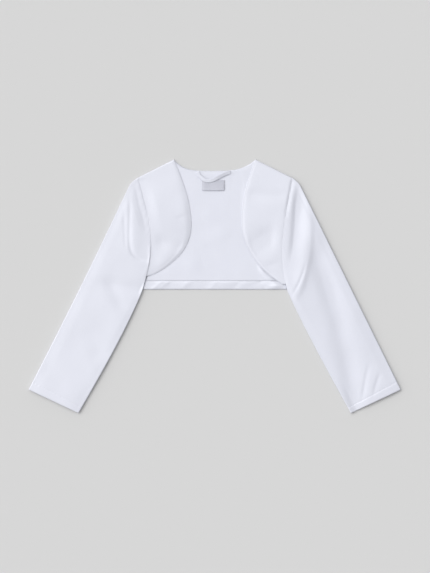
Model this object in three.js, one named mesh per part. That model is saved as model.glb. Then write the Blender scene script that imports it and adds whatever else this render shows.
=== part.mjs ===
// A girl's cropped bolero jacket in white satin, laid flat on its back with the sleeves spread.
// The neck points to +Y, the wearer's right side is on -X, and the cloth rests on the plane z = 0.
// All sizes are millimetres.
import * as THREE from "three";

// Cloth layers and how they lie on each other
const CLOTH = 1.2; // satin with its backing
const LINING = 1.0;
const GAP = 0.3; // between two pieces at a seam or in a stack
const TURN_UP = 17; // depth of the hem at the back and at the cuffs
const CUFF_EXTRA = 0.6; // the turned-up cloth makes the cuff's wall this much thicker
const LINING_BASE = CLOTH + GAP;
const LINING_TOP = LINING_BASE + LINING;
const ROLL_END = 0.2; // height of a cloth edge that curls down to the surface

// Body outline. Half widths are from the middle, heights from the part's centre towards the neck.
const NECK_HALF = 81.5;
const NECK_UP = 253.5;
const NECK_DROP = 22.5;
const HEM_HALF = 144;
const HEM_UP = -6.5;
const HEM_ROLL = 3; // width in which the folded hem curls under
const SIDE_SEAM = 47; // from the hem up to the underarm
const SHOULDER_ROLL = 5; // width in which the fronts curl down over the shoulder

// Sleeve outline, the same on both sides
const CAP_CORNER = { out: 167, up: 209.5 };
const CAP_ROUND = 12; // length of the sleeve's outer edge in the rounded shoulder
const CUFF_OUTER = { out: 372, up: -206.5 };
const CUFF_INNER = { out: 272, up: -253.5 };
const FOLD_ROUND_TOP = 10; // width in which the cloth curves up from a folded edge
const FOLD_ROUND_UNDER = 4;
const FOLD_LIFT = 0.5; // height of the under layer's lower face at a folded edge

// Heights of the upper layer
const SEAM_ENDS = 4.7; // armhole seam at the shoulder and at the underarm
const SEAM_RISE = 2.4; // and how much higher it lies halfway
const EDGE_LEVEL = 4.5; // the fronts' free edges
const FRONT_CROWN = 1.3;
const SLEEVE_LEVEL = 9;
const RISE_SHOULDER = 18; // distance in which the sleeve swells up beside the armhole seam
const RISE_UNDERARM = 7;

// Fineness of the walls
const SLEEVE_STATIONS = 20;
const SLEEVE_TOP_STEPS = 14;
const SLEEVE_UNDER_STEPS = 4;
const FRONT_ROWS = 13;
const FRONT_COLUMNS = 12;
const HEM_COLUMNS = 36;

const SATIN = { color: 0xe9ebf3, roughness: 0.42, metalness: 0 };
const LINING_SATIN = { color: 0xe6e8f1, roughness: 0.55, metalness: 0 };
const LABEL_GREY = { color: 0xc3c5cf, roughness: 0.6, metalness: 0 };

// What differs between the sides. out is the distance from the middle, up the distance towards the neck.
// tip is the shoulder end of the armhole, and bow is how far the armhole curves in towards the body.
// edge holds the free front edge as handles of two cubic curves, from the neck to the side seam.
// Each fold runs along a curved line: rise is its height, negative for a trough, and half its half-width.
const SIDES = [
  {
    name: "right",
    sign: -1,
    tip: { out: 152, up: 218 },
    bow: 20.5,
    bowSkew: 1.15,
    sleeveBow: 1.5,
    neckPower: 4.2,
    edge: [
      { out: 81.5, up: 253.5 },
      { out: 64, up: 210 },
      { out: 47, up: 170 },
      { out: 47, up: 125 },
      { out: 47, up: 70 },
      { out: 88, up: 38 },
      { out: 129, up: 20.5 },
    ],
    sleeveFolds: [
      { from: [160, 204], by: [152, 165], to: [142, 116], half: 7, rise: -1.3 },
      { from: [172, 186], by: [172, 126], to: [162, 62], half: 11, rise: 0.8 },
      { from: [176, 36], by: [154, 26], to: [142, 6], half: 10, rise: -1.0 },
      { from: [218, 10], by: [198, -18], to: [182, -48], half: 13, rise: -1.0 },
      { from: [240, -30], by: [214, -46], to: [194, -74], half: 15, rise: 0.9 },
      { from: [238, -92], by: [234, -112], to: [230, -136], half: 12, rise: -0.6 },
    ],
    frontFolds: [
      { from: [66, 60], by: [96, 74], to: [122, 58], half: 16, rise: 0.5 },
      { from: [58, 120], by: [84, 92], to: [112, 96], half: 18, rise: -0.5 },
    ],
  },
  {
    name: "left",
    sign: 1,
    tip: { out: 154.5, up: 217 },
    bow: 14,
    bowSkew: 1.25,
    sleeveBow: 6.5,
    neckPower: 3.2,
    edge: [
      { out: 81.5, up: 253.5 },
      { out: 63, up: 206 },
      { out: 53.5, up: 176 },
      { out: 53.5, up: 130 },
      { out: 53.5, up: 84 },
      { out: 80, up: 38 },
      { out: 136, up: 4 },
    ],
    sleeveFolds: [
      { from: [164, 196], by: [158, 122], to: [148, 40], half: 8, rise: -1.8 },
      { from: [174, 190], by: [186, 96], to: [158, -6], half: 12, rise: 1.8 },
      { from: [206, 120], by: [208, -20], to: [272, -226], half: 15, rise: -1.6 },
      { from: [180, 36], by: [190, -70], to: [254, -206], half: 13, rise: 0.9 },
      { from: [230, 60], by: [264, -50], to: [308, -190], half: 18, rise: 1.0 },
    ],
    frontFolds: [
      { from: [62, 72], by: [108, 92], to: [134, 134], half: 15, rise: -0.9 },
      { from: [74, 126], by: [98, 142], to: [124, 172], half: 16, rise: 0.5 },
      { from: [98, 42], by: [112, 52], to: [132, 64], half: 13, rise: 0.5 },
    ],
  },
];
const [RIGHT, LEFT] = SIDES;

// Bumps of the turned-up hem, the two largest crumpled together near the wearer's left side seam
const HEM_BUMPS = [
  { x: 116, up: 2, halfX: 11, halfUp: 5, rise: 1.9 },
  { x: 96, up: 5, halfX: 9, halfUp: 4, rise: 0.5 },
  { x: 54, up: 5, halfX: 12, halfUp: 7, rise: 0.4 },
  { x: 20, up: 4, halfX: 14, halfUp: 8, rise: 0.6 },
  { x: -60, up: 6, halfX: 16, halfUp: 5, rise: 0.4 },
  { x: -104, up: 3, halfX: 12, halfUp: 9, rise: 0.8 },
  { x: -122, up: 0, halfX: 9, halfUp: 6, rise: 0.6 },
];

const LABEL = { x: -2.8, up: 201.5, width: 45, depth: 21, thick: 0.6 };

// Hanger loop: a flat ribbon from seam to seam, given by its upper face. tilt leans its width, in degrees.
const LOOP = { width: 7, thick: 0.8, steps: 20 };
const LOOP_ROUTE = [
  { x: -34.5, up: 229, z: 3.8, tilt: 0 },
  { x: -30.5, up: 221, z: 4.1, tilt: 0 },
  { x: -23, up: 213.5, z: 4.8, tilt: 2 },
  { x: -12.5, up: 210.5, z: 5.2, tilt: 5 },
  { x: -1.5, up: 213, z: 5.6, tilt: 9 },
  { x: 9, up: 218.5, z: 5.7, tilt: 13 },
  { x: 20, up: 224, z: 5.0, tilt: 10 },
  { x: 31, up: 228.5, z: 3.8, tilt: 0 },
];

const mix = (a, b, share) => a + (b - a) * share;
const clamp01 = (value) => Math.min(1, Math.max(0, value));
const smooth = (value) => clamp01(value) ** 2 * (3 - 2 * clamp01(value));
const steps = (count) => Array.from({ length: count + 1 }, (_, i) => i / count);
const easedSteps = (count) => steps(count).map((s) => (1 - Math.cos(Math.PI * s)) / 2);
const flat = (point) => new THREE.Vector3(point.out, point.up, 0);

// Height and slope of a quarter round, from its foot at 0 to its top at 1
const quarterRise = (value) => Math.sqrt(1 - (1 - clamp01(value)) ** 2);
const quarterLean = (value) => 1 - clamp01(value);

// Height that the folds add at a place. A fold fades out towards both ends of its line.
function foldsHeight(folds, out, up) {
  const here = new THREE.Vector2(out, up);
  const line = new THREE.QuadraticBezierCurve();
  let sum = 0;
  for (const fold of folds) {
    line.v0.set(...fold.from);
    line.v1.set(...fold.by);
    line.v2.set(...fold.to);
    const nearest = steps(20)
      .map((share) => ({ share, distance: line.getPoint(share).distanceTo(here) }))
      .reduce((a, b) => (b.distance < a.distance ? b : a));
    const fade = smooth(nearest.share / 0.3) * smooth((1 - nearest.share) / 0.3);
    sum += fold.rise * mix(0.2, 1, fade) * Math.exp(-((nearest.distance / fold.half) ** 2));
  }
  return sum;
}

// The armhole and the side seam below it, as one line from the shoulder tip (share 0) down to the hem
// (share 1). inset moves it in towards the body.
function sidePoint(side, share, inset = 0) {
  const at = (s) => {
    const bow = side.bow * Math.sin(Math.PI * Math.abs(s) ** side.bowSkew);
    return flat({
      out: mix(side.tip.out, HEM_HALF, s) - bow,
      up: mix(side.tip.up, HEM_UP, s),
    });
  };
  const down = at(share + 0.01).sub(at(Math.max(share - 0.01, 0))).normalize();
  return at(share).add(new THREE.Vector3(down.y, -down.x, 0).multiplyScalar(inset));
}

const shareAt = (side, up) => (side.tip.up - up) / (side.tip.up - HEM_UP);
const underarmShare = (side) => shareAt(side, HEM_UP + SIDE_SEAM);
const seamLevel = (share) => SEAM_ENDS + SEAM_RISE * Math.sin(Math.PI * clamp01(share));

// A closed wall between an outer and an inner face, each given as rows of points
function wall(outer, inner) {
  const rows = outer.length;
  const columns = outer[0].length;
  const points = [...outer.flat(), ...inner.flat()];
  const at = (layer, row, column) => (layer * rows + row) * columns + column;
  const index = [];
  const quad = (a, b, c, d) => index.push(a, b, c, a, c, d);
  const strip = (a, b) => quad(a(0), a(1), b(1), b(0));
  for (let row = 0; row < rows - 1; row++) {
    for (let column = 0; column < columns - 1; column++) {
      const face = (layer) => [
        at(layer, row, column),
        at(layer, row, column + 1),
        at(layer, row + 1, column + 1),
        at(layer, row + 1, column),
      ];
      quad(...face(0));
      quad(...face(1).reverse());
    }
  }
  for (let column = 0; column < columns - 1; column++) {
    const end = rows - 1;
    strip((i) => at(0, 0, column + 1 - i), (i) => at(1, 0, column + 1 - i));
    strip((i) => at(0, end, column + i), (i) => at(1, end, column + i));
  }
  for (let row = 0; row < rows - 1; row++) {
    const end = columns - 1;
    strip((i) => at(0, row + i, 0), (i) => at(1, row + i, 0));
    strip((i) => at(0, row + 1 - i, end), (i) => at(1, row + 1 - i, end));
  }
  // Turn the faces out, whichever way round the rows were given
  const volume = (i) => {
    const [a, b, c] = [points[index[i]], points[index[i + 1]], points[index[i + 2]]];
    return a.dot(b.clone().cross(c));
  };
  let total = 0;
  for (let i = 0; i < index.length; i += 3) total += volume(i);
  if (total < 0) index.reverse();
  const geometry = new THREE.BufferGeometry().setFromPoints(points);
  geometry.setIndex(index);
  geometry.computeVertexNormals();
  return geometry;
}

// Both faces of a wall from one function of depth, mirrored to the wearer's side
function sidedWall(side, rowsAt, thickness) {
  const place = (depth) =>
    rowsAt(depth).map((row) => row.map((p) => new THREE.Vector3(p.x * side.sign, p.y, p.z)));
  return wall(place(() => 0), place(thickness));
}

// Sleeve: a tube laid flat, whose sections turn from the line of the armhole to the line of the cuff.
// Its upper and its under layer are a solid each, which meet at the two folded edges.
function sleevePlan(side) {
  const tip = flat(side.tip);
  const corner = flat(CAP_CORNER);
  const cuffOuter = flat(CUFF_OUTER);
  const cuffInner = flat(CUFF_INNER);
  const underarm = underarmShare(side);
  const roundEnd = cuffOuter.clone().sub(corner).setLength(CAP_ROUND).add(corner);
  const outer = new THREE.CurvePath();
  outer.add(new THREE.QuadraticBezierCurve3(tip, corner, roundEnd));
  outer.add(new THREE.LineCurve3(roundEnd, cuffOuter));

  const hemCorner = sidePoint(side, 1);
  const bend = hemCorner.clone().lerp(cuffInner, 0.3);
  bend.x -= side.sleeveBow;
  const sideSeam = steps(6).map((s) => sidePoint(side, mix(underarm, 1, s)));
  const inner = new THREE.CurvePath();
  inner.add(new THREE.CatmullRomCurve3(sideSeam));
  inner.add(new THREE.QuadraticBezierCurve3(hemCorner, bend, cuffInner));

  const chord = (across) => sidePoint(side, 0).lerp(sidePoint(side, underarm), across);
  const place = (along, across) => {
    const bow = sidePoint(side, underarm * across).sub(chord(across));
    const straight = outer.getPointAt(along).lerp(inner.getPointAt(along), across);
    return straight.addScaledVector(bow, (1 - along) ** 2);
  };
  return { place, length: outer.getLength() };
}

// Places across the flat tube: close together in the rounds of both folded edges, even between them
function acrossSteps(width, round, count) {
  const near = [0, 0.06, 0.25, 0.6].map((s) => (s * round) / width);
  const middle = steps(count).map((s) => mix(round / width, 1 - round / width, s));
  return [...near, ...middle, ...near.map((s) => 1 - s).reverse()];
}

function sleeveLayers(side) {
  const plan = sleevePlan(side);
  // Stations lie closer together towards the armhole, and two hold the step at the cuff's hem
  const hemStart = 1 - TURN_UP / plan.length;
  const stations = steps(SLEEVE_STATIONS - 2).map((s) => hemStart * s ** 1.4);
  stations.push(hemStart + CUFF_EXTRA / plan.length, 1);

  const thickness = (along) => (along > hemStart ? CLOTH + CUFF_EXTRA : CLOTH);
  const acrossLayer = (along, round, count, pointAt) => {
    const towardsInner = plan.place(along, 1).sub(plan.place(along, 0));
    const width = towardsInner.length();
    towardsInner.normalize();
    return acrossSteps(width, round, count).map((across) => {
      const fromFold = (Math.min(across, 1 - across) * width) / round;
      const inwards = towardsInner.clone().multiplyScalar(across < 0.5 ? 1 : -1);
      return pointAt(plan.place(along, across), across, fromFold, inwards);
    });
  };
  const crowned = (p, across) => {
    const lower = smooth((across - 0.45) / 0.3);
    const swell =
      p.distanceTo(plan.place(0, across)) / mix(RISE_SHOULDER, RISE_UNDERARM, lower);
    const crown = SLEEVE_LEVEL + foldsHeight(side.sleeveFolds, p.x, p.y);
    return mix(seamLevel(across), crown, mix(smooth(swell), quarterRise(swell), lower));
  };
  // The upper layer curves over both folded edges and comes down to the flat under layer
  const upperRow = (along, depth) =>
    acrossLayer(along, FOLD_ROUND_TOP, SLEEVE_TOP_STEPS, (p, across, fromFold, inwards) => {
      const foot = thickness(along) + GAP;
      const height = crowned(p, across) - foot - depth;
      p.addScaledVector(inwards, depth * quarterLean(fromFold));
      return p.setZ(foot + height * quarterRise(fromFold));
    });
  const underRow = (along, depth) =>
    acrossLayer(along, FOLD_ROUND_UNDER, SLEEVE_UNDER_STEPS, (p, across, fromFold) =>
      p.setZ(depth || FOLD_LIFT * (1 - quarterRise(fromFold))),
    );
  const built = (rowAt) =>
    sidedWall(side, (depth) => stations.map((along) => rowAt(along, depth(along))), thickness);
  return { top: built(upperRow), under: built(underRow) };
}

// Front panel: ruled between the armhole line and the free front edge, curled down over the shoulder
function frontPanel(side) {
  const handles = side.edge.map(flat);
  const edge = new THREE.CurvePath();
  edge.add(new THREE.CubicBezierCurve3(...handles.slice(0, 4)));
  edge.add(new THREE.CubicBezierCurve3(...handles.slice(3)));
  const lowest = handles.at(-1).y;
  const reach = side.tip.up - lowest;
  const roll = [0, 0.04, 0.16, 0.4, 0.75, 1.2].map((s) => (s * SHOULDER_ROLL) / reach);
  const even = steps(FRONT_ROWS).slice(1).map((s) => mix(roll.at(-1), 1, s));

  const place = (down, across) => {
    const seam = sidePoint(side, shareAt(side, lowest) * down, GAP);
    return seam.lerp(edge.getPointAt(down), across);
  };
  const level = (down, across, position) => {
    const seam = seamLevel(shareAt(side, position.y) / underarmShare(side));
    const inside = Math.sin(Math.PI * across);
    const crown = FRONT_CROWN * inside * Math.sin(Math.PI * down);
    const folds = foldsHeight(side.frontFolds, position.x, position.y) * inside;
    return Math.max(mix(seam, EDGE_LEVEL, smooth(across)) + crown + folds, EDGE_LEVEL);
  };
  const rowsAt = (depth) =>
    [...roll, ...even].map((down) =>
      easedSteps(FRONT_COLUMNS).map((across) => {
        const position = place(down, across);
        const onwards = place(Math.min(down + 0.01, 1), across).sub(place(down, across));
        const fromShoulder = (down * reach) / SHOULDER_ROLL;
        const height = level(down, across, position) - ROLL_END;
        position.addScaledVector(onwards.normalize(), depth() * quarterLean(fromShoulder));
        position.z = ROLL_END + (height - depth()) * quarterRise(fromShoulder);
        return position;
      }),
    );
  return sidedWall(side, rowsAt, () => CLOTH);
}

// Flat panel with the body's outline, from its lower edge up to the shoulders and the neckline
function flatPanel({ lowerEdge, sideInset, shoulderInset, neckInset, thick }) {
  const sideLine = (side) => {
    const [low, high] = [shareAt(side, lowerEdge), shoulderInset / (side.tip.up - HEM_UP)];
    return steps(12).map((s) => sidePoint(side, mix(low, high, s), sideInset));
  };
  const neckLine = (side) =>
    steps(9).map((s) => {
      const out = Math.sin((Math.PI / 2) * (1 - s));
      const drop = NECK_DROP * (1 - out ** side.neckPower);
      return flat({ out: NECK_HALF * out, up: NECK_UP - drop - mix(shoulderInset, neckInset, s) });
    });
  const half = (side) =>
    [...sideLine(side), ...neckLine(side)].map((p) => new THREE.Vector2(p.x * side.sign, p.y));
  const outline = [...half(LEFT), ...half(RIGHT).reverse().slice(1)];
  return new THREE.ExtrudeGeometry(new THREE.Shape(outline), {
    depth: thick,
    bevelEnabled: false,
  });
}

// The back's hem, turned up to the inside, with its folded edge curled round the back's lower edge
function backHem() {
  const top = LINING_BASE + CLOTH;
  const bump = (x, up) =>
    HEM_BUMPS.reduce((sum, b) => {
      const distance = ((x - b.x) / b.halfX) ** 2 + ((up - b.up) / b.halfUp) ** 2;
      return sum + b.rise * Math.exp(-distance);
    }, 0);
  const curl = [0, 0.06, 0.25, 0.6, 1].map((s) => s * HEM_ROLL);
  const rises = [...curl, ...steps(4).slice(1).map((s) => mix(HEM_ROLL, TURN_UP, s))];
  const face = (depth) =>
    rises.map((rise) =>
      steps(HEM_COLUMNS).map((share) => {
        const ends = SIDES.map((side) => {
          const end = sidePoint(side, shareAt(side, HEM_UP + rise), GAP);
          return end.x * side.sign;
        });
        const x = mix(...ends, share);
        const up = HEM_UP + rise + depth * quarterLean(rise / HEM_ROLL);
        const fromSide = HEM_HALF - Math.abs(x);
        const height = top - ROLL_END + bump(x, HEM_UP + rise) * smooth(fromSide / 14) - depth;
        return new THREE.Vector3(x, up, ROLL_END + height * quarterRise(rise / HEM_ROLL));
      }),
    );
  return wall(face(0), face(CLOTH - GAP));
}

function hangerLoop() {
  const route = new THREE.CatmullRomCurve3(
    LOOP_ROUTE.map((p) => new THREE.Vector3(p.x, p.up, p.z)),
  );
  const last = LOOP_ROUTE.length - 1;
  const face = (depth) =>
    steps(LOOP.steps).map((s) => {
      const along = route.getTangent(s);
      const before = Math.min(Math.floor(s * last), last - 1);
      const lean = mix(LOOP_ROUTE[before].tilt, LOOP_ROUTE[before + 1].tilt, s * last - before);
      const level = new THREE.Vector3(-along.y, along.x, 0).normalize();
      const sideways = level.applyAxisAngle(along, THREE.MathUtils.degToRad(lean));
      const down = sideways.clone().cross(along).normalize();
      const middle = route.getPoint(s).addScaledVector(down, depth);
      return [-0.5, 0.5].map((w) => middle.clone().addScaledVector(sideways, w * LOOP.width));
    });
  return wall(face(0), face(LOOP.thick));
}

const backPanel = flatPanel({
  lowerEdge: HEM_UP + HEM_ROLL,
  sideInset: 2 * GAP,
  shoulderInset: 2.4,
  neckInset: 0,
  thick: CLOTH,
});
const liningPanel = flatPanel({
  lowerEdge: HEM_UP + TURN_UP + 2 * GAP,
  sideInset: 3 * GAP,
  shoulderInset: 4.4,
  neckInset: 1,
  thick: LINING,
});
const labelPatch = new THREE.BoxGeometry(LABEL.width, LABEL.depth, LABEL.thick);

const jacket = new THREE.Group();
function add(name, geometry, finish, { x = 0, up = 0, z = 0 } = {}) {
  const piece = new THREE.Mesh(geometry, new THREE.MeshStandardMaterial(finish));
  piece.name = name;
  piece.position.set(x, up, z);
  jacket.add(piece);
}
add("back", backPanel, SATIN);
add("back_lining", liningPanel, LINING_SATIN, { z: LINING_BASE });
add("back_hem", backHem(), SATIN);
for (const side of SIDES) {
  add(`front_${side.name}`, frontPanel(side), SATIN);
  const { top, under } = sleeveLayers(side);
  add(`sleeve_${side.name}_top`, top, SATIN);
  add(`sleeve_${side.name}_under`, under, SATIN);
}
const labelMiddle = LINING_TOP + GAP + LABEL.thick / 2;
add("neck_label", labelPatch, LABEL_GREY, { ...LABEL, z: labelMiddle });
add("hanger_loop", hangerLoop(), SATIN);

export default jacket;
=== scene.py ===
import math

import bmesh
import bpy
import numpy as np
from mathutils import Matrix, Vector


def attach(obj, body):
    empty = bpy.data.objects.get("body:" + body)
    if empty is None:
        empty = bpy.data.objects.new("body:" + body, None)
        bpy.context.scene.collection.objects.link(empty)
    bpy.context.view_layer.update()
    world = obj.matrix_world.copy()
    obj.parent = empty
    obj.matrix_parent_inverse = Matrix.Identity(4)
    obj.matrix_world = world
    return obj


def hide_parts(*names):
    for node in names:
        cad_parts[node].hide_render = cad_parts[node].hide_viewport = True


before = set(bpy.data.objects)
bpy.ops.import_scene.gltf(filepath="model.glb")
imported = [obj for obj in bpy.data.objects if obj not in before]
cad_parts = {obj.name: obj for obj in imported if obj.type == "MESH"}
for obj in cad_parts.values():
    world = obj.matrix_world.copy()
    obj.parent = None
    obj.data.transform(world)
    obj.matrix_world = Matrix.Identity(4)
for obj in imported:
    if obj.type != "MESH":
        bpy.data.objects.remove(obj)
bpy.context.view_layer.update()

# A girl's bolero jacket of white satin, laid flat on its back with the sleeves spread.
# Sizes are millimetres until a mesh is made. "out" is the distance from the middle towards
# either sleeve, "up" is towards the neck, and the wearer's right side is on -X.


# The outer back
# One panel of white polyester satin, cut whole, face down on the surface. Its neckline and
# armholes are sewn and turned, so only their rolled edges show.
NECK_HALF = 81.5
NECK_UP = 253.5
NECK_DROP = 22.5
HEM_HALF = 144.0
HEM_UP = -6.5
CUTS = {
    "right": {"sign": -1, "tip": (152.0, 218.0), "bow": 20.5, "skew": 1.15, "neck": 4.2},
    "left": {"sign": 1, "tip": (154.5, 217.0), "bow": 14.0, "skew": 1.25, "neck": 3.2},
}
BACK_CREASES = [
    ([(-96, 30), (-40, 64), (30, 70), (92, 44)], -0.5, 5, 4),
    ([(-70, 196), (-30, 150), (10, 128), (64, 118)], -0.45, 6, 4),
    ([(104, 190), (84, 132), (96, 70)], -0.5, 4, 5),
    ([(-112, 168), (-92, 120), (-104, 52)], -0.45, 5, 4),
]


def mix(a, b, share):
    return a + (b - a) * share


def smooth(value):
    value = np.clip(value, 0, 1)
    return value * value * (3 - 2 * value)


def side_line(cut, share, inset=0.0):
    """The armhole and the side seam, from the shoulder tip (0) down to the hem (1)."""
    def at(s):
        bow = cut["bow"] * np.sin(np.pi * np.abs(s) ** cut["skew"])
        out = mix(cut["tip"][0], HEM_HALF, s) - bow
        return np.stack([out, mix(cut["tip"][1], HEM_UP, s)], -1)
    share = np.asarray(share, float)
    down = at(share + 0.01) - at(np.maximum(share - 0.01, 0))
    down /= np.linalg.norm(down, axis=-1, keepdims=True)
    return at(share) + inset * np.stack([down[..., 1], -down[..., 0]], -1)


def share_at(cut, up):
    return (cut["tip"][1] - up) / (cut["tip"][1] - HEM_UP)


def evenly(line, share):
    """Points of a line at even shares of its length."""
    run = np.concatenate([[0], np.cumsum(np.linalg.norm(np.diff(line, axis=0), axis=1))])
    return np.stack([np.interp(share * run[-1], run, column) for column in line.T], -1)


def curve_through(points, count):
    """A smooth line through some points, evenly divided."""
    p = np.asarray(points, float)
    p = np.vstack([2 * p[0] - p[1], p, 2 * p[-1] - p[-2]])
    t = np.linspace(0, 1, 24, endpoint=False)[:, None]
    spans = []
    for a, b, c, d in zip(p, p[1:], p[2:], p[3:]):
        turn = 2 * a - 5 * b + 4 * c - d
        spans.append(0.5 * (2 * b + (c - a) * t + turn * t ** 2 + (3 * b - a - 3 * c + d) * t ** 3))
    return evenly(np.vstack([*spans, p[-2:-1]]), np.linspace(0, 1, count))


def folds(x, y, creases):
    """Height that soft folds add. Each follows a smooth line and fades out at both ends.

    A fold is its line, its height, and its widths on the line's left and right."""
    here = np.stack([x, y], -1).reshape(-1, 2)
    height = np.zeros(len(here))
    for number, (line, rise, left, right) in enumerate(creases):
        path = curve_through(line, 25)
        reach = 2.6 * max(left, right)
        near = np.all((here > path.min(0) - reach) & (here < path.max(0) + reach), axis=1)
        if not near.any():
            continue
        start, span = path[:-1], np.diff(path, axis=0)
        off = here[near][:, None] - start
        t = np.clip((off * span).sum(-1) / (span ** 2).sum(-1), 0, 1)
        gap = off - t[..., None] * span
        distance = np.linalg.norm(gap, axis=-1)
        best = distance.argmin(1)
        row = np.arange(len(best))
        along = (best + t[row, best]) / len(span)
        side = np.sign(span[best, 0] * gap[row, best, 1] - span[best, 1] * gap[row, best, 0])
        width = mix(right, left, (side + 1) / 2)
        ease = min(0.35, 60 / (len(span) * np.linalg.norm(span[0])))
        fade = smooth(along / ease) * smooth((1 - along) / ease)
        uneven = 1 + 0.15 * np.sin(7.3 * along + 2.1 * number)
        height[near] += rise * fade * uneven * np.exp(-(distance[row, best] / width) ** 2)
    return height.reshape(x.shape)


def ripple(x, y, seed, size, height):
    """Slow unevenness of cloth that has been in wear and laid down by hand."""
    pick = np.random.default_rng(seed)
    total = np.zeros_like(x)
    for turn, stretch, phase in pick.uniform((0, 0.6, 0), (np.pi, 2.2, 6.28), (9, 3)):
        wave = 2 * np.pi / (size * stretch)
        total += np.sin(wave * (x * np.cos(turn) + y * np.sin(turn)) + phase) * stretch
    return total * height / 4


def cloth_mesh(name, upper, lower, edge_shade_and_border, around=False, grain=None):
    """A closed shell between two grids of points. around joins each row's end to its start."""
    rows, columns = upper.shape[:2]
    points = np.concatenate([upper.reshape(-1, 3), lower.reshape(-1, 3)]) * 0.001
    index = np.arange(rows * columns).reshape(rows, columns)
    if around:
        index = np.hstack([index, index[:, :1]])
    under = index + rows * columns
    def quads(a, b, c, d):
        return np.stack([a, b, c, d], -1).reshape(-1, 4)
    faces = [
        quads(index[:-1, :-1], index[:-1, 1:], index[1:, 1:], index[1:, :-1]),
        quads(under[:-1, :-1], under[1:, :-1], under[1:, 1:], under[:-1, 1:]),
        quads(index[0, 1:], index[0, :-1], under[0, :-1], under[0, 1:]),
        quads(index[-1, :-1], index[-1, 1:], under[-1, 1:], under[-1, :-1]),
    ]
    if not around:
        faces.append(quads(index[:-1, 0], index[1:, 0], under[1:, 0], under[:-1, 0]))
        faces.append(quads(index[1:, -1], index[:-1, -1], under[:-1, -1], under[1:, -1]))
    faces = np.concatenate(faces)
    corner = points[faces]
    across = np.cross(corner[:, 1] - corner[:, 0], corner[:, 2] - corner[:, 0])
    across += np.cross(corner[:, 2] - corner[:, 0], corner[:, 3] - corner[:, 0])
    if (corner.mean(1) * across).sum() < 0:
        faces = faces[:, ::-1]
    mesh = bpy.data.meshes.new(name)
    mesh.from_pydata(points.tolist(), [], faces.tolist())
    mesh.polygons.foreach_set("use_smooth", np.ones(len(faces), bool))
    # The grain: how far each point lies across and along the warp, in metres
    if grain is None:
        grain = upper[..., :2]
    flat = np.concatenate([grain.reshape(-1, 2)] * 2) * 0.001
    layer = mesh.uv_layers.new(name="grain")
    corners = np.empty(len(mesh.loops), np.int32)
    mesh.loops.foreach_get("vertex_index", corners)
    layer.data.foreach_set("uv", flat[corners].ravel())
    # How far the colour is darkened: 1 at a sewn or folded edge, as painted shade, and in the label's woven
    # border
    share = np.broadcast_to(edge_shade_and_border, (rows, columns)).ravel()
    mesh.attributes.new("edge_shade_and_border", "FLOAT", "POINT").data.foreach_set("value", np.tile(share, 2))
    piece = bpy.data.objects.new(name, mesh)
    bpy.context.scene.collection.objects.link(piece)
    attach(piece, "root")
    return piece


def panel_grid(low, high, sides, rows, columns):
    """A grid over a body panel, between its lower edge, its sides and its shoulders and neck."""
    right, left = [side * (cut["sign"], 1) for side, cut in zip(sides, CUTS.values())]
    across = np.linspace(0, 1, columns)[None, :, None]
    up = np.linspace(0, 1, rows)[:, None, None]
    grid = mix(low[None], high[None], up) + mix(right[:, None], left[:, None], across)
    return grid - mix(mix(low[0], low[-1], across), mix(high[0], high[-1], across), up)


def body_panel(lower_edge, side_inset, shoulder_inset, neck_inset, rows, columns):
    sides, tops = [], []
    for cut in CUTS.values():
        shoulder = shoulder_inset / (cut["tip"][1] - HEM_UP)
        side = side_line(cut, np.linspace(share_at(cut, lower_edge), shoulder, rows), side_inset)
        # Three tenths of the steps run up the shoulder, the rest along the neckline
        run = np.linspace(0, 1, columns // 2 + 1)
        out = np.sin(np.pi / 2 * np.clip((1 - run) / 0.7, 0, 1))
        drop = NECK_DROP * (1 - out ** cut["neck"])
        neck = np.stack([NECK_HALF * out, NECK_UP - drop - neck_inset], -1)
        corner = np.array([NECK_HALF, NECK_UP - shoulder_inset])
        slope = mix(side[-1], corner, np.clip(run / 0.3, 0, 1)[:, None])
        tops.append(np.where(run[:, None] < 0.3, slope, neck) * (cut["sign"], 1))
        sides.append(side)
    top = np.vstack([tops[0], tops[1][::-1][1:]])
    low = np.linspace(sides[0][0] * (-1, 1), sides[1][0], len(top))
    return panel_grid(low, top, sides, rows, len(top))


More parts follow.
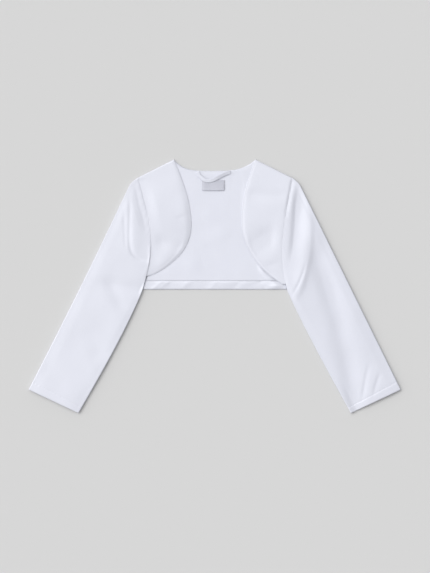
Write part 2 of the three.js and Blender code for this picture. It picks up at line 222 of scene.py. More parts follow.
def satin(name, colour, roughness, thread=0.45, depth=0.03):
    """Satin: fine floats along the warp, faint slubs, slow changes of tone, and darker edges: painted shade
    on the cloth, the woven border on the label.
    """
    material = bpy.data.materials.new(name)
    material.use_nodes = True
    nodes, links = material.node_tree.nodes, material.node_tree.links
    surface = nodes["Principled BSDF"]
    surface.inputs["Sheen Weight"].default_value = 0.2
    surface.inputs["Sheen Roughness"].default_value = 0.5
    surface.inputs["Anisotropic"].default_value = 0.35
    surface.inputs["IOR"].default_value = 1.8
    surface.inputs["Specular IOR Level"].default_value = 0.9
    grain = nodes.new("ShaderNodeUVMap")
    grain.uv_map = "grain"
    # The floats reflect like fine rods, so the gloss spreads across them
    across = nodes.new("ShaderNodeTangent")
    across.direction_type = "UV_MAP"
    across.uv_map = "grain"
    links.new(across.outputs["Tangent"], surface.inputs["Tangent"])
    # Slubs run along the warp, so the noise is drawn out along it
    stretch = nodes.new("ShaderNodeMapping")
    stretch.inputs["Scale"].default_value = (900, 22, 1)
    slubs = nodes.new("ShaderNodeTexNoise")
    slubs.inputs["Scale"].default_value = 1.0
    slubs.inputs["Detail"].default_value = 2.0
    slow = nodes.new("ShaderNodeTexNoise")
    slow.inputs["Scale"].default_value = 14.0
    slow.inputs["Detail"].default_value = 3.0
    links.new(grain.outputs["UV"], stretch.inputs["Vector"])
    links.new(stretch.outputs["Vector"], slubs.inputs["Vector"])
    links.new(grain.outputs["UV"], slow.inputs["Vector"])
    blend = nodes.new("ShaderNodeMath")
    blend.operation = "MULTIPLY_ADD"
    blend.inputs[1].default_value = 0.35
    links.new(slubs.outputs["Fac"], blend.inputs[0])
    links.new(slow.outputs["Fac"], blend.inputs[2])
    tone = nodes.new("ShaderNodeValToRGB")
    tone.color_ramp.elements[0].position = 0.42
    tone.color_ramp.elements[1].position = 0.92
    tone.color_ramp.elements[0].color = (*[0.965 * c for c in colour], 1)
    tone.color_ramp.elements[1].color = (*colour, 1)
    links.new(blend.outputs["Value"], tone.inputs["Fac"])
    # Painted shade: along folded and sewn edges the base colour is darkened to nine tenths; on the label
    # the same darkening draws its woven border
    edge_shade_and_border = nodes.new("ShaderNodeAttribute")
    edge_shade_and_border.attribute_name = "edge_shade_and_border"
    edge = nodes.new("ShaderNodeMix")
    edge.data_type = "RGBA"
    edge.inputs["B"].default_value = (*[0.9 * c for c in colour], 1)
    links.new(edge_shade_and_border.outputs["Fac"], edge.inputs["Factor"])
    links.new(tone.outputs["Color"], edge.inputs["A"])
    links.new(edge.outputs["Result"], surface.inputs["Base Color"])
    polish = nodes.new("ShaderNodeMapRange")
    polish.inputs["To Min"].default_value = roughness + 0.05
    polish.inputs["To Max"].default_value = roughness - 0.05
    links.new(slubs.outputs["Fac"], polish.inputs["Value"])
    links.new(polish.outputs["Result"], surface.inputs["Roughness"])
    # Warp floats and the weft that ties them down, as a shallow relief
    heights = []
    for direction, period, weight in (("X", thread, 1.0), ("Y", 2.3 * thread, 0.5)):
        wave = nodes.new("ShaderNodeTexWave")
        wave.bands_direction = direction
        wave.inputs["Scale"].default_value = 1000 / period / 20
        wave.inputs["Distortion"].default_value = 1.5
        wave.inputs["Detail"].default_value = 1.0
        links.new(grain.outputs["UV"], wave.inputs["Vector"])
        part = nodes.new("ShaderNodeMath")
        part.operation = "MULTIPLY"
        part.inputs[1].default_value = weight
        links.new(wave.outputs["Fac"], part.inputs[0])
        heights.append(part)
    weave = nodes.new("ShaderNodeMath")
    weave.operation = "ADD"
    links.new(heights[0].outputs["Value"], weave.inputs[0])
    links.new(heights[1].outputs["Value"], weave.inputs[1])
    relief = nodes.new("ShaderNodeBump")
    relief.inputs["Strength"].default_value = 0.3
    relief.inputs["Distance"].default_value = depth * 0.001
    links.new(weave.outputs["Value"], relief.inputs["Height"])
    links.new(relief.outputs["Normal"], surface.inputs["Normal"])
    return material


white_satin = satin("white_satin", (0.655, 0.670, 0.755), 0.45)

BACK_THICK = 1.1
grid = body_panel(HEM_UP + 1.5, 0.8, 2.4, 0.4, 90, 121)
x, y = grid[..., 0], grid[..., 1]
from_edge = np.minimum(np.linalg.norm(grid[-1] - grid, axis=-1), y - y[0])
inside = smooth(np.linspace(0, 1, 90)[:, None] / 0.06) * smooth((1 - np.abs(x) / 150) / 0.1)
pressed = folds(x, y, BACK_CREASES) + ripple(x, y, 3, 46, 0.1)
lower = np.dstack([grid, np.maximum(-pressed, 0) * inside])
upper = np.dstack([grid, np.full_like(x, BACK_THICK)])
# Its last argument is the painted shade along its edges
back = cloth_mesh("back_satin", upper, lower, 1 - smooth(from_edge / 6))
back.data.materials.append(white_satin)
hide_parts("back")


# The back lining
# Thin white lining cloth, cut a little larger than the back, so it lies in slow waves. It is
# sewn and turned at the neckline and armholes, and its lower edge is slip-stitched to the hem.
LINING_LEVEL = 2.25
LINING_THICK = 0.9
# The lowest that its upper face comes, over the turned-up hem and over the back
LINING_LOWEST = (2.25, 2.05)
TURN_UP = 17.0
# The crumple beside the wearer's left side seam runs on into the hem
CRUMPLE = ([(83, 47), (96, 29), (113, 14), (130, 2)], 1.8, 2.6, 3.4)
LINING_FOLDS = [
    ([(-66, 178), (-44, 150), (-16, 140), (10, 146)], 0.5, 14, 18),
    ([(-52, 104), (-26, 92), (8, 102), (40, 122)], 0.5, 17, 13),
    ([(-24, 84), (-6, 48), (2, 10)], -0.4, 12, 14),
    ([(42, 240), (46, 190), (38, 130)], -0.8, 9, 10),
    ([(-100, 54), (-62, 40), (-24, 36)], 0.4, 12, 14),
    CRUMPLE,
]


def quarter(value):
    """The height of a quarter round, from its foot at 0 to its top at 1."""
    return np.sqrt(1 - (1 - np.clip(value, 0, 1)) ** 2)


def rolled(level, thick, distance):
    """Upper and lower heights of cloth whose edge, at this distance, is turned into a bead."""
    drop = 0.35 * thick * (1 - quarter(distance / thick))
    return level - drop, level - thick + drop


def stitches(name, rows, length, width):
    """Closed bars of thread. Each row holds places on the cloth and the way the stitches point."""
    bars = bmesh.new()
    for places, turn in rows:
        for place in places:
            lie = Matrix.Translation(Vector(place) * 0.001) @ Matrix.Rotation(turn, 4, "Z")
            size = Matrix.Diagonal((length / 2, width / 2, width / 2, 1000)) * 0.001
            bmesh.ops.create_uvsphere(bars, u_segments=8, v_segments=6, radius=1, matrix=lie @ size)
    mesh = bpy.data.meshes.new(name)
    bars.to_mesh(mesh)
    bars.free()
    mesh.polygons.foreach_set("use_smooth", np.ones(len(mesh.polygons), bool))
    piece = bpy.data.objects.new(name, mesh)
    bpy.context.scene.collection.objects.link(piece)
    piece.data.materials.append(thread_material())
    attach(piece, "root")
    return piece


def thread_material():
    """Twisted polyester sewing thread, white and a little glossy."""
    if "sewing_thread" in bpy.data.materials:
        return bpy.data.materials["sewing_thread"]
    material = bpy.data.materials.new("sewing_thread")
    material.use_nodes = True
    nodes, links = material.node_tree.nodes, material.node_tree.links
    surface = nodes["Principled BSDF"]
    surface.inputs["Sheen Weight"].default_value = 0.2
    place = nodes.new("ShaderNodeTexCoord")
    twist = nodes.new("ShaderNodeTexWave")
    twist.bands_direction = "DIAGONAL"
    twist.inputs["Scale"].default_value = 160.0
    tone = nodes.new("ShaderNodeValToRGB")
    tone.color_ramp.elements[0].color = (0.60, 0.61, 0.68, 1)
    tone.color_ramp.elements[1].color = (0.74, 0.75, 0.82, 1)
    gloss = nodes.new("ShaderNodeMapRange")
    gloss.inputs["To Min"].default_value = 0.6
    gloss.inputs["To Max"].default_value = 0.4
    links.new(place.outputs["Object"], twist.inputs["Vector"])
    links.new(twist.outputs["Fac"], tone.inputs["Fac"])
    links.new(tone.outputs["Color"], surface.inputs["Base Color"])
    links.new(twist.outputs["Fac"], gloss.inputs["Value"])
    links.new(gloss.outputs["Result"], surface.inputs["Roughness"])
    return material


def lining_cloth(name, colour):
    """Plain weave: warp and weft of one weight, duller than satin."""
    material = satin(name, colour, 0.52, thread=0.4, depth=0.04)
    surface = material.node_tree.nodes["Principled BSDF"]
    surface.inputs["Anisotropic"].default_value = 0.0
    surface.inputs["Specular IOR Level"].default_value = 0.7
    return material


grid = body_panel(HEM_UP + TURN_UP + 0.3, 0.9, 4.4, 1.0, 150, 161)
x, y = grid[..., 0], grid[..., 1]
from_top = np.linalg.norm(grid[-1] - grid, axis=-1)
from_hem = y - y[0]
level = LINING_LEVEL + folds(x, y, LINING_FOLDS) + ripple(x, y, 11, 60, 0.2)
level -= 0.5 * (1 - smooth(from_top / 5))
# It lies on the back, and its lower edge on the turned-up hem
level = np.maximum(level, mix(*LINING_LOWEST, smooth(from_hem / 8)))
thick = LINING_THICK * mix(0.3, 1, smooth(from_hem / 6))
upper, lower = rolled(level, thick, np.minimum(from_top, from_hem))
# Painted shade along its turned top edge and its lower edge
edge_shade_and_border = 1 - smooth(np.minimum(from_top, from_hem) / 5)
lining = cloth_mesh("back_lining_cloth", np.dstack([grid, upper]), np.dstack([grid, lower]), edge_shade_and_border)
lining.data.materials.append(lining_cloth("white_lining", (0.665, 0.680, 0.765)))
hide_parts("back_lining")

SLIP_STEP = 9.0
spots = np.arange(-126, 127, SLIP_STEP)
edge_level = np.interp(spots, x[0], level[0])
slips = np.stack([spots, np.full_like(spots, y[0, 0]), edge_level - 0.1], -1)
slip_stitches = stitches("lining_slip_stitches", [(slips, math.radians(70))], 1.6, 0.35)


# The back hem
# The lower edge of the back, turned up to the inside over 17 mm and blind-stitched, so it shows
# as a shiny band. It waves between the stitches and is crumpled beside the wearer's left side seam.
HEM_ROLL = 1.8
HEM_DEPTH = 19.0
HEM_THICK = 0.6
# Heights of its upper face: where it shows, and where the lining covers it
HEM_LEVEL = 2.4
HEM_COVERED = 1.85
# The folded edge starts this far above the surface
HEM_FOOT = 0.15
HEM_BUMPS = [
    # x, up, half length, half height, rise
    (122, 0, 12, 5, 1.9),
    (96, 3, 9, 5, 0.5),
    (54, 4, 16, 8, 0.5),
    (18, 3, 18, 8, 0.5),
    (-60, 4, 20, 7, 0.4),
    (-104, 3, 12, 9, 0.5),
]
HEM_FOLDS = [
    ([(-134, -12), (-114, 2), (-94, 22)], 0.6, 4, 4),
    ([(-122, -12), (-102, 2), (-80, 22)], 0.5, 4, 4),
    ([(-76, -14), (-58, 3), (-36, 24)], 0.4, 5, 6),
    ([(-18, -14), (-2, 3), (14, 24)], 0.4, 6, 5),
    ([(30, -14), (46, 4), (68, 24)], -0.4, 5, 5),
    ([(74, 24), (92, 6), (112, -14)], -0.8, 4, 5),
    CRUMPLE,
]
curl_steps = HEM_ROLL * np.array([0, 0.03, 0.1, 0.25, 0.5, 0.75])
rise = np.concatenate([curl_steps, np.linspace(HEM_ROLL, HEM_DEPTH, 22)])
hem_shares = [share_at(cut, HEM_UP + rise) for cut in CUTS.values()]
ends = [side_line(cut, s, 0.3)[:, 0] * cut["sign"] for cut, s in zip(CUTS.values(), hem_shares)]
x = mix(ends[0][:, None], ends[1][:, None], np.linspace(0, 1, 260)[None])
y = np.broadcast_to(HEM_UP + rise[:, None], x.shape)
bumps = folds(x, y, HEM_FOLDS) + ripple(x, y, 5, 34, 0.15)
for at, up, half_x, half_up, height in HEM_BUMPS:
    bumps += height * np.exp(-((x - at) / half_x) ** 2 - ((y - up) / half_up) ** 2)
level = HEM_LEVEL + bumps * smooth((HEM_HALF - np.abs(x)) / 10)
under_lining = smooth((rise[:, None] - 14) / 4)
level = mix(level, HEM_COVERED, under_lining)
curl = quarter(rise[:, None] / HEM_ROLL)
upper = HEM_FOOT + (level - HEM_FOOT) * curl
lower = HEM_FOOT + (level - HEM_THICK - HEM_FOOT) * curl
inward = HEM_THICK * (1 - np.clip(rise[:, None] / HEM_ROLL, 0, 1))
# Its fourth argument is the painted shade along the folded lower edge
hem = cloth_mesh(
    "hem_band",
    np.dstack([x, y, upper]),
    np.dstack([x, y + inward, lower]),
    1 - smooth(rise[:, None] / 4),
)
hem.data.materials.append(white_satin)
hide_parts("back_hem")


# The two fronts
# Curved satin panels, sewn to the back at the shoulder and side and to the sleeve at the armhole.
# The free edge is faced and turned, so it shows as a narrow bead that stands off the lining.
SIDE_SEAM = 47.0
SEAM_ENDS = 4.3
SEAM_RISE = 0.8
FRONT_CROWNS = {"right": 1.1, "left": 0.7}
FRONT_THICK = 0.8
# The free edge is pressed thinner, and the shoulder edge rolls down from here to the back
EDGE_THICK = 0.5
SHOULDER_ROLL = 1.6
SHOULDER_FOOT = 0.2
FRONT_EDGES = {
    "right": [(81.5, 253.5), (64, 210), (47, 170), (47, 125), (47, 70), (88, 38), (129, 20.5)],
    "left": [(81.5, 253.5), (63, 206), (53.5, 176), (53.5, 130), (53.5, 84), (80, 38), (136, 4)],
}
# How high the free edge stands at its top, its middle, near its lower end and at the end
EDGE_LEVELS = {"right": (3.1, 3.4, 3.0, 3.0), "left": (3.3, 3.4, 3.7, 5.4)}
# How deep the armhole seam sinks, from which share of its length down it lies flat, and how
# wide its slope is on the sleeve and on the front
SEAM_SINKS = {"right": (0.6, 0.28, 2.2, 14), "left": (1.0, 0.3, 6, 2.4)}
FRONT_FOLDS = {
    "right": [
        ([(-170, 150), (-110, 150), (-60, 142), (0, 130)], 1.2, 46, 26),
        ([(-120, 26), (-98, 54), (-84, 82), (-82, 110)], 0.8, 15, 18),
        ([(-160, 88), (-112, 90), (-70, 76), (-20, 56)], -1.2, 12, 14),
        ([(-82, 134), (-62, 139), (-40, 146)], -0.35, 4, 5),
    ],
    "left": [
        ([(40, 192), (88, 184), (124, 180), (170, 178)], -0.7, 10, 12),
        ([(24, 46), (70, 74), (100, 94), (134, 124)], -1.9, 17, 24),
        ([(84, 34), (108, 42), (148, 52)], -0.4, 6, 9),
        ([(90, 34), (112, 18), (140, 0)], 1.2, 6, 3),
    ],
}


def bezier(handles, share):
    """Two cubic curves end to end, at even shares of their length."""
    h = np.asarray(handles, float)
    t = np.linspace(0, 1, 80)[:, None]
    arcs = [
        (1 - t) ** 3 * a + 3 * t * (1 - t) ** 2 * b + 3 * t * t * (1 - t) * c + t ** 3 * d
        for a, b, c, d in (h[:4], h[3:])
    ]
    return evenly(np.vstack([arcs[0], arcs[1][1:]]), share)


def seam_level(share):
    return SEAM_ENDS + SEAM_RISE * np.sin(np.pi * np.clip(share, 0, 1))


def seam_sink(name, share, distance, on_front):
    """The armhole seam sinks between the front and the sleeve, most of all below the shoulder."""
    deep, until, *widths = SEAM_SINKS[name]
    depth = mix(deep, 0.15, smooth((share - until) / 0.2)) * smooth(share / 0.05)
    return depth * np.exp(-(distance / widths[on_front]) ** 2)


def resting(level, lowest):
    """The cloth's height where it comes down softly onto what lies under it."""
    clear = level - lowest
    return lowest + (clear + np.sqrt(clear ** 2 + 0.25)) / 2


for number, (name, cut) in enumerate(CUTS.items()):
    lowest = FRONT_EDGES[name][-1][1]
    reach = cut["tip"][1] - lowest
    down = np.concatenate([[0, 0.04, 0.16, 0.4, 0.75], np.linspace(1.2, reach / SHOULDER_ROLL, 120)])
    down *= SHOULDER_ROLL / reach
    across = mix(0.02, 0.96, np.linspace(0, 1, 64))
    across = np.concatenate([[0, 0.006, 0.012], across, [0.975, 0.987, 0.995, 1]])
    seam = side_line(cut, share_at(cut, lowest) * down, -0.2)
    edge = bezier(FRONT_EDGES[name], down)
    plan = mix(seam[:, None], edge[:, None], across[None, :, None])
    x, y = plan[..., 0] * cut["sign"], plan[..., 1]
    width = np.linalg.norm(edge - seam, axis=1)[:, None]
    from_edge, from_seam = (1 - across) * width, across * width
    underarm = share_at(cut, HEM_UP + SIDE_SEAM)
    armhole = share_at(cut, y) / underarm
    inside = smooth(from_edge / 16) * smooth(from_seam / 24)
    edge_level = np.interp(down, (0, 0.5, 0.87, 1), EDGE_LEVELS[name])[:, None]
    level = mix(seam_level(armhole), edge_level, smooth(across))
    # The cloth swells most beside the free edge, where nothing holds it down
    swell = smooth(across / 0.8) * smooth((1 - across) / 0.13)
    level += FRONT_CROWNS[name] * swell * np.sin(np.pi * down[:, None])
    level += folds(x, y, FRONT_FOLDS[name]) * inside
    level += ripple(x, y, 21 + number, 52, 0.15) * inside
    # The faced edge is a layer thicker but pressed flat at its rim, and the seam is drawn down
    level += 0.1 * smooth((9 - from_edge) / 3)
    level -= seam_sink(name, armhole, from_seam, True)
    level = resting(level, edge_level - 0.3)
    rim = 1 - smooth(from_edge / 6)
    level -= (FRONT_THICK - EDGE_THICK) * rim
    thick = mix(FRONT_THICK + 0.1 * smooth((9 - from_edge) / 3), EDGE_THICK, rim)
    upper, lower = rolled(level, thick, from_edge)
    # At the shoulder it rolls down to the back
    from_shoulder = down[:, None] * reach
    turned = np.clip(from_shoulder / SHOULDER_ROLL, 0, 1)
    onward = np.gradient(plan, axis=0)
    onward /= np.maximum(np.linalg.norm(onward, axis=-1, keepdims=True), 1e-9)
    inner = plan + onward * (thick * (1 - turned))[..., None]
    upper, lower = [mix(SHOULDER_FOOT, side, quarter(turned)) for side in (upper, lower)]
    # Its fourth argument is the painted shade along the free edge and the shoulder
    front = cloth_mesh(
        f"front_{name}_satin",
        np.dstack([x, y, upper]),
        np.dstack([inner[..., 0] * cut["sign"], inner[..., 1], lower]),
        1 - smooth(np.minimum(from_edge, from_shoulder) / 4),
    )
    front.data.materials.append(white_satin)
    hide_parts(f"front_{name}")


# The two sleeves
# Each is one piece of satin sewn into a tube along the underarm and set into the armhole with a
# little ease, which puckers. Laid flat it is pressed along both sides, and its cuff is turned up
# inside and blind-stitched 17 mm above the edge.
CAP_CORNER = np.array([167.0, 209.5])
CAP_ROUND = 12.0
CUFF_OUTER = np.array([372.0, -206.5])
CUFF_INNER = np.array([272.0, -253.5])
# Heights over the surface: at the outer fold, across the middle and at the inner fold
SLEEVE_LEVELS = {"right": (5.2, 5.8, 5.3), "left": (4.8, 5.8, 5.2)}
OUTER_REACH = 24.0
INNER_REACH = 22.0
# How far the wearer's right sleeve bends inwards at its outer and inner fold
SLEEVE_LEAN = {"right": (2.6, 4.8), "left": (0, 0)}
SLEEVE_THICK = 0.9
# The upper layer comes no lower than this, so the tube stays open
LOWEST_TOP = 2.5
FOLD_MIDDLE = 2.4
FOLD_ROUND = 1.1
UNDER_ROUND = 4.0
# How far from the armhole the sleeve reaches its height, at the shoulder and at the underarm,
# and how much it bulges over the seam there
RISES = {"right": (34, 9, 1), "left": (60, 46, 0)}
SLEEVE_BOW = {"right": 1.5, "left": 6.5}
SLEEVE_FOLDS = {
    "right": [
        ([(-165, 222), (-157, 194), (-151, 164), (-143, 136), (-136, 100)], -1.0, 5, 3),
        ([(-171, 200), (-170, 150), (-171, 104), (-168, 72), (-156, 57), (-130, 52), (-100, 54)],
         -0.65, 5, 3),
        ([(-166, 176), (-161, 128), (-160, 84), (-152, 50)], 1.2, 18, 20),
        ([(-182, 160), (-180, 112), (-178, 66)], -0.4, 5, 3.5),
        ([(-250, 14), (-176, -2), (-100, -6)], -1.1, 13, 14),
        ([(-130, 92), (-128, 60), (-131, 30), (-140, 0), (-150, -24)], 0.9, 7, 4),
        ([(-222, 30), (-200, -12), (-178, -60)], -0.8, 14, 12),
        ([(-262, -80), (-240, -116), (-222, -160)], -0.6, 16, 15),
        ([(-352, -150), (-318, -180), (-284, -206)], -0.5, 17, 15),
    ],
    "left": [
        ([(170, 216), (167, 192), (163, 152), (158, 92), (151, 40)], -2.7, 20, 6.5),
        ([(188, 160), (190, 120), (190, 92), (188, 62), (181, 32), (169, -8), (150, -40)],
         1.5, 7, 16),
        ([(184, 56), (176, 26), (164, -2), (148, -28)], -0.5, 3, 3),
        ([(194, 104), (208, 48), (226, -2), (240, -48), (250, -88), (259, -128),
          (268, -168), (273, -204), (275, -260), (275, -330)], -3.0, 22, 18),
        ([(312, -146), (304, -170), (297, -208), (293, -236)], -0.6, 6, 3),
        ([(334, -162), (325, -186), (319, -206), (315, -228)], -0.55, 6, 3),
    ],
}
UNDER_FOLDS = {
    "right": [
        ([(-150, 150), (-176, 96), (-170, 30)], 0.6, 5, 4),
        ([(-170, 10), (-212, -24), (-236, -92)], 0.7, 4, 6),
        ([(-262, -60), (-280, -120), (-306, -180)], 0.5, 6, 5),
    ],
    "left": [
        ([(158, 168), (172, 108), (164, 40)], 0.6, 4, 5),
        ([(180, 30), (226, -30), (240, -110)], 0.7, 6, 4),
        ([(250, -50), (290, -128), (306, -196)], 0.5, 5, 6),
    ],
}


def across_steps(width, round_width, count):
    """Places across the flat tube, close together in the rounds of its folded edges."""
    near = np.array([0, 0.02, 0.07, 0.16, 0.3, 0.48, 0.7]) * round_width / width
    middle = np.linspace(round_width / width, 1 - round_width / width, count)
    return np.concatenate([near, middle, 1 - near[::-1]])


for number, (name, cut) in enumerate(CUTS.items()):
    underarm = share_at(cut, HEM_UP + SIDE_SEAM)
    tip = np.array(cut["tip"])
    outer_side = CUFF_OUTER - CAP_CORNER
    round_end = CAP_CORNER + outer_side * CAP_ROUND / np.linalg.norm(outer_side)
    t = np.linspace(0, 1, 20)[:, None]
    cap = (1 - t) ** 2 * tip + 2 * t * (1 - t) * CAP_CORNER + t * t * round_end
    outer_line = np.vstack([cap, CUFF_OUTER])
    hem_corner = side_line(cut, 1.0)
    bend = mix(hem_corner, CUFF_INNER, 0.3) - (SLEEVE_BOW[name], 0)
    t = np.linspace(0, 1, 60)[1:, None]
    below = (1 - t) ** 2 * hem_corner + 2 * t * (1 - t) * bend + t * t * CUFF_INNER
    inner_line = np.vstack([side_line(cut, np.linspace(underarm, 1, 20)), below])
    length = np.linalg.norm(np.diff(outer_line, axis=0), axis=1).sum()
    hem_start = 1 - TURN_UP / length
    along = np.concatenate([
        [0, 0.0012, 0.0028, 0.005, 0.008],
        mix(0.012, hem_start - 0.006, np.linspace(0, 1, 190)),
        hem_start + np.array([-0.004, -0.002, 0, 0.002, 0.004]),
        mix(hem_start + 0.008, 0.993, np.linspace(0, 1, 10)),
        [0.996, 0.9985, 1],
    ])
    outer, inner = evenly(outer_line, along), evenly(inner_line, along)
    outer[:, 0] -= SLEEVE_LEAN[name][0] * np.sin(np.pi * along)
    bent = np.clip((along - 0.15) / 0.85, 0, 1) ** 0.8
    inner[:, 0] -= SLEEVE_LEAN[name][1] * np.sin(np.pi * bent)
    width = np.linalg.norm(inner - outer, axis=1).mean()
    top = across_steps(width, FOLD_ROUND, 92)
    under = across_steps(width, UNDER_ROUND, 34)[1:-1][::-1]
    around = np.concatenate([top, under])
    is_top = np.arange(len(around)) < len(top)
    seam = side_line(cut, underarm * around)
    chord = mix(side_line(cut, 0.0), side_line(cut, underarm), around[:, None])
    bow = (seam - chord)[None] * ((1 - along) ** 2)[:, None, None]
    plan = mix(outer[:, None], inner[:, None], around[None, :, None]) + bow
    x, y = plan[..., 0] * cut["sign"], plan[..., 1]

    wide = np.linalg.norm(inner - outer, axis=1)[:, None]
    to_inner = (inner - outer) / wide
    from_fold = np.minimum(around, 1 - around) * wide
    from_seam = np.linalg.norm(plan - plan[:1], axis=-1)
    from_cuff = (1 - along)[:, None] * length
    # The upper layer rises from the armhole, slowly at the shoulder and faster at the underarm
    lower_part = smooth((around - 0.45) / 0.3)[None]
    at_shoulder, at_underarm, bulge = RISES[name]
    nearest = np.linalg.norm(plan[:, :, None] - seam, axis=-1).min(-1)
    from_armhole = mix(nearest, from_seam, bulge)
    swell = from_armhole / mix(at_shoulder, at_underarm, lower_part)
    swell = mix(smooth(swell), quarter(swell), lower_part * bulge)
    folds_start = mix(smooth(from_armhole / 9), swell, bulge)
    at_outer, middle_level, at_inner = SLEEVE_LEVELS[name]
    crown = mix(at_outer, middle_level, smooth(around * wide / OUTER_REACH))
    crown += (at_inner - middle_level) * (1 - smooth((1 - around) * wide / INNER_REACH))
    crown += ripple(x, y, 31 + number, 64, 0.2)
    top_level = mix(seam_level(around)[None], crown, swell)
    top_level += folds(x, y, SLEEVE_FOLDS[name]) * folds_start * smooth(from_fold / 15)
    top_level = resting(top_level, LOWEST_TOP)
    # Ease in the sleeve head puckers it beside the sunken seam
    run = np.arange(len(around)) * 0.9 + 1.7 * np.sin(around * 19)
    top_level += 0.15 * np.sin(run)[None] * np.exp(-from_seam / 7) * smooth(from_seam / 1.5)
    top_level -= seam_sink(name, around[None], from_seam, False)
    # The turned-up cuff is a layer thicker, and each blind stitch draws the cloth down
    stitch = np.exp(-((from_cuff - TURN_UP) / 1.6) ** 2)
    dimple = 0.5 + 0.5 * np.cos(around * wide * 2 * np.pi / 6.5 + 0.8 * np.sin(around * 23))
    top_level += 0.2 * smooth((TURN_UP + 1.5 - from_cuff) / 3) - 0.3 * stitch * (0.3 + dimple)
    flat = folds(x, y, UNDER_FOLDS[name]) * smooth(from_cuff / 12)
    fold_round = np.where(is_top, FOLD_ROUND, UNDER_ROUND)
    turn = np.clip(from_fold / fold_round, 0, 1)
    level = np.where(is_top[None], top_level, np.maximum(flat, 0))
    z = FOLD_MIDDLE + (level - FOLD_MIDDLE) * quarter(turn)
    cuff_edge = 1 - quarter(from_cuff / (0.8 * SLEEVE_THICK))
    thick = (SLEEVE_THICK + 0.5 * smooth((TURN_UP - from_cuff) / 2)) * np.ones_like(x)
    lean = np.where(around < 0.5, 1.0, -1.0)[None] * (1 - turn)
    sink = quarter(turn) * np.where(is_top, 1.0, -1.0)[None]
    def face(depth):
        moved = plan + to_inner[:, None] * (depth * lean)[..., None]
        return np.dstack([moved[..., 0] * cut["sign"], moved[..., 1], z - depth * sink])
    outer_face = face(thick / 2 * cuff_edge)
    # Its fourth argument is the painted shade along the cuff and the folded edges
    sleeve = cloth_mesh(
        f"sleeve_{name}_satin",
        outer_face,
        face(thick - thick / 2 * cuff_edge),
        1 - smooth(np.minimum(from_cuff, from_fold) / 4),
        around=True,
        grain=np.dstack([around[None] * wide * np.ones_like(x), along[:, None] * length * np.ones_like(x)]),
    )
    sleeve.data.materials.append(white_satin)
    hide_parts(f"sleeve_{name}_top", f"sleeve_{name}_under")

    # Blind stitches hold the turn-up; each shows as a prick of thread on the upper side
    hem_row = outer_face[np.abs(from_cuff[:, 0] - TURN_UP).argmin(), is_top]
    picks = hem_row[8:-8:5]
    lie = math.atan2(to_inner[-1, 1], to_inner[-1, 0] * cut["sign"])
    cuff_stitches = stitches(f"cuff_{name}_stitches", [(picks, lie)], 1.0, 0.32)


# The neck label
# A small woven label in silver grey, without lettering: plain with a woven border. It is
# machine-stitched to the lining along its two short sides, so its long edges lift a little.
LABEL = {"x": -2.8, "up": 201.5, "width": 45.0, "depth": 21.0}
LABEL_LEVEL = 3.45
LABEL_THICK = 0.5
LABEL_SEAM = 1.6

u, v = np.meshgrid(np.linspace(-1, 1, 61), np.linspace(-1, 1, 31))
x = LABEL["x"] + u * LABEL["width"] / 2
y = LABEL["up"] + v * LABEL["depth"] / 2
from_end = (1 - np.abs(u)) * LABEL["width"] / 2
from_side = np.minimum(from_end, (1 - np.abs(v)) * LABEL["depth"] / 2)
level = LABEL_LEVEL + 0.35 * (1 - u ** 2) * np.abs(v) ** 3
level -= 0.25 * np.exp(-((from_end - LABEL_SEAM) / 1.2) ** 2)
level += 0.12 * np.sin(5.1 * u + 1.2 * v)
upper, lower = rolled(level, LABEL_THICK, from_side)
# Its fourth argument darkens a band just inside its edges: the woven border
label = cloth_mesh(
    "neck_label_cloth",
    np.dstack([x, y, upper]),
    np.dstack([x, y, lower]),
    1 - smooth((from_side - 1.2) / 0.8),
    grain=np.dstack([(u + 1) * LABEL["width"] / 2, (v + 1) * LABEL["depth"] / 2]),
)
label.data.materials.append(satin("grey_label", (0.47, 0.48, 0.56), 0.5, thread=0.35, depth=0.05))
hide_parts("neck_label")

rows = []
for side in (-1, 1):
    at = LABEL["x"] + side * (LABEL["width"] / 2 - LABEL_SEAM)
    ups = LABEL["up"] + np.arange(-3, 4) * 2.7
    rows.append(([(at, up, 3.3) for up in ups], math.radians(90)))
label_stitches = stitches("label_stitches", rows, 2.1, 0.35)


# The hanger loop
# Narrow double-folded satin ribbon, caught at both ends in the neckline seam. It lies on the
# label and stands partly on its edge where it turns.
LOOP_WIDTH = 7.0
LOOP_THICK = 0.8
LOOP_ROUTE = [
    # x, up, height of its upper face, lean of its width in degrees
    (-34.5, 229, 3.8, 0),
    (-30.5, 221, 4.1, 0),
    (-23, 213.5, 4.8, 2),
    (-12.5, 210.5, 5.2, 5),
    (-1.5, 213, 5.6, 9),
    (9, 218.5, 5.7, 13),
    (20, 224, 5.0, 10),
    (31, 228.5, 3.8, 0),
]
route = curve_through(LOOP_ROUTE, 90)
middle, lean = route[:, :3], np.radians(route[:, 3])
onward = np.gradient(middle, axis=0)
onward /= np.linalg.norm(onward, axis=1, keepdims=True)
sideways = np.stack([-onward[:, 1], onward[:, 0], 0 * lean], -1)
sideways /= np.linalg.norm(sideways, axis=1, keepdims=True)
upward = np.cross(onward, sideways)
tilted = sideways * np.cos(lean)[:, None] + upward * np.sin(lean)[:, None]
normal = np.cross(onward, tilted)
half = np.linspace(-1, 1, 15)
bead = 1 - quarter((1 - np.abs(half)) * LOOP_WIDTH / 2 / LOOP_THICK)


def ribbon(depth):
    side = tilted[:, None] * half[None, :, None] * LOOP_WIDTH / 2
    return middle[:, None] + side - normal[:, None] * depth[None, :, None]


# Its fourth argument is the painted shade along the ribbon's rolled edges
loop = cloth_mesh(
    "hanger_loop_ribbon",
    ribbon(LOOP_THICK / 2 * bead),
    ribbon(LOOP_THICK - LOOP_THICK / 2 * bead),
    smooth((np.abs(half) - 0.6) / 0.4)[None],
    grain=np.dstack(np.meshgrid(half * LOOP_WIDTH / 2, np.arange(90.0))),
)
loop.data.materials.append(satin("ribbon_satin", (0.64, 0.655, 0.74), 0.4, thread=0.3))
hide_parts("hanger_loop")


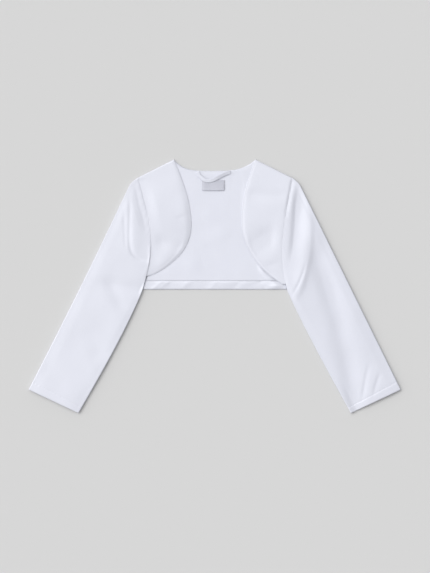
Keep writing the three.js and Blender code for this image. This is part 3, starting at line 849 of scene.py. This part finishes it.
# The floor, the light and the camera
# A plain pale tabletop, a large soft lamp from the upper left, a weaker one low on the left, and
# a room that is brighter to the upper left. The camera looks straight down.
bpy.ops.mesh.primitive_plane_add(size=12, location=(0, 0, 0))
floor = bpy.context.object
floor.name = "tabletop"
paper = bpy.data.materials.new("pale_tabletop")
paper.use_nodes = True
matt = paper.node_tree.nodes["Principled BSDF"]
matt.inputs["Base Color"].default_value = (0.6, 0.6, 0.6, 1)
matt.inputs["Roughness"].default_value = 0.9
matt.inputs["Specular IOR Level"].default_value = 0.0
floor.data.materials.append(paper)

LAMPS = [
    # name, direction it shines from, strength, width of the lamp as seen from the jacket
    ("window_light", (-0.55, 0.5, 0.8), 1.2, 38),
    ("side_light", (-0.95, 0.1, 0.5), 0.7, 50),
]
for name, source, strength, spread in LAMPS:
    lamp = bpy.data.lights.new(name, "SUN")
    lamp.energy = strength
    lamp.angle = math.radians(spread)
    holder = bpy.data.objects.new(name, lamp)
    holder.rotation_euler = Vector(source).to_track_quat("Z", "Y").to_euler()
    bpy.context.scene.collection.objects.link(holder)

world = bpy.data.worlds.new("room")
world.use_nodes = True
nodes, links = world.node_tree.nodes, world.node_tree.links
# The room is brighter towards its windows, on the upper left
seen = nodes.new("ShaderNodeTexCoord")
towards = nodes.new("ShaderNodeVectorMath")
towards.operation = "DOT_PRODUCT"
towards.inputs[1].default_value = (-0.87, 0.5, 0)
bright = nodes.new("ShaderNodeMapRange")
bright.inputs["From Min"].default_value = -0.6
bright.inputs["From Max"].default_value = 0.6
bright.inputs["To Min"].default_value = 0.38
bright.inputs["To Max"].default_value = 1.12
links.new(seen.outputs["Generated"], towards.inputs[0])
links.new(towards.outputs["Value"], bright.inputs["Value"])
links.new(bright.outputs["Result"], nodes["Background"].inputs["Strength"])
nodes["Background"].inputs["Color"].default_value = (1, 1, 1, 1)
bpy.context.scene.world = world

CAMERA_HEIGHT = 4.0
VIEW_HEIGHT = 1.146
lens = bpy.data.cameras.new("camera")
lens.sensor_width = 36
lens.lens = lens.sensor_width * CAMERA_HEIGHT / VIEW_HEIGHT
camera = bpy.data.objects.new("camera", lens)
camera.location = (0.0005, -0.0005, CAMERA_HEIGHT)
bpy.context.scene.collection.objects.link(camera)
bpy.context.scene.camera = camera
bpy.context.scene.view_settings.view_transform = "Standard"
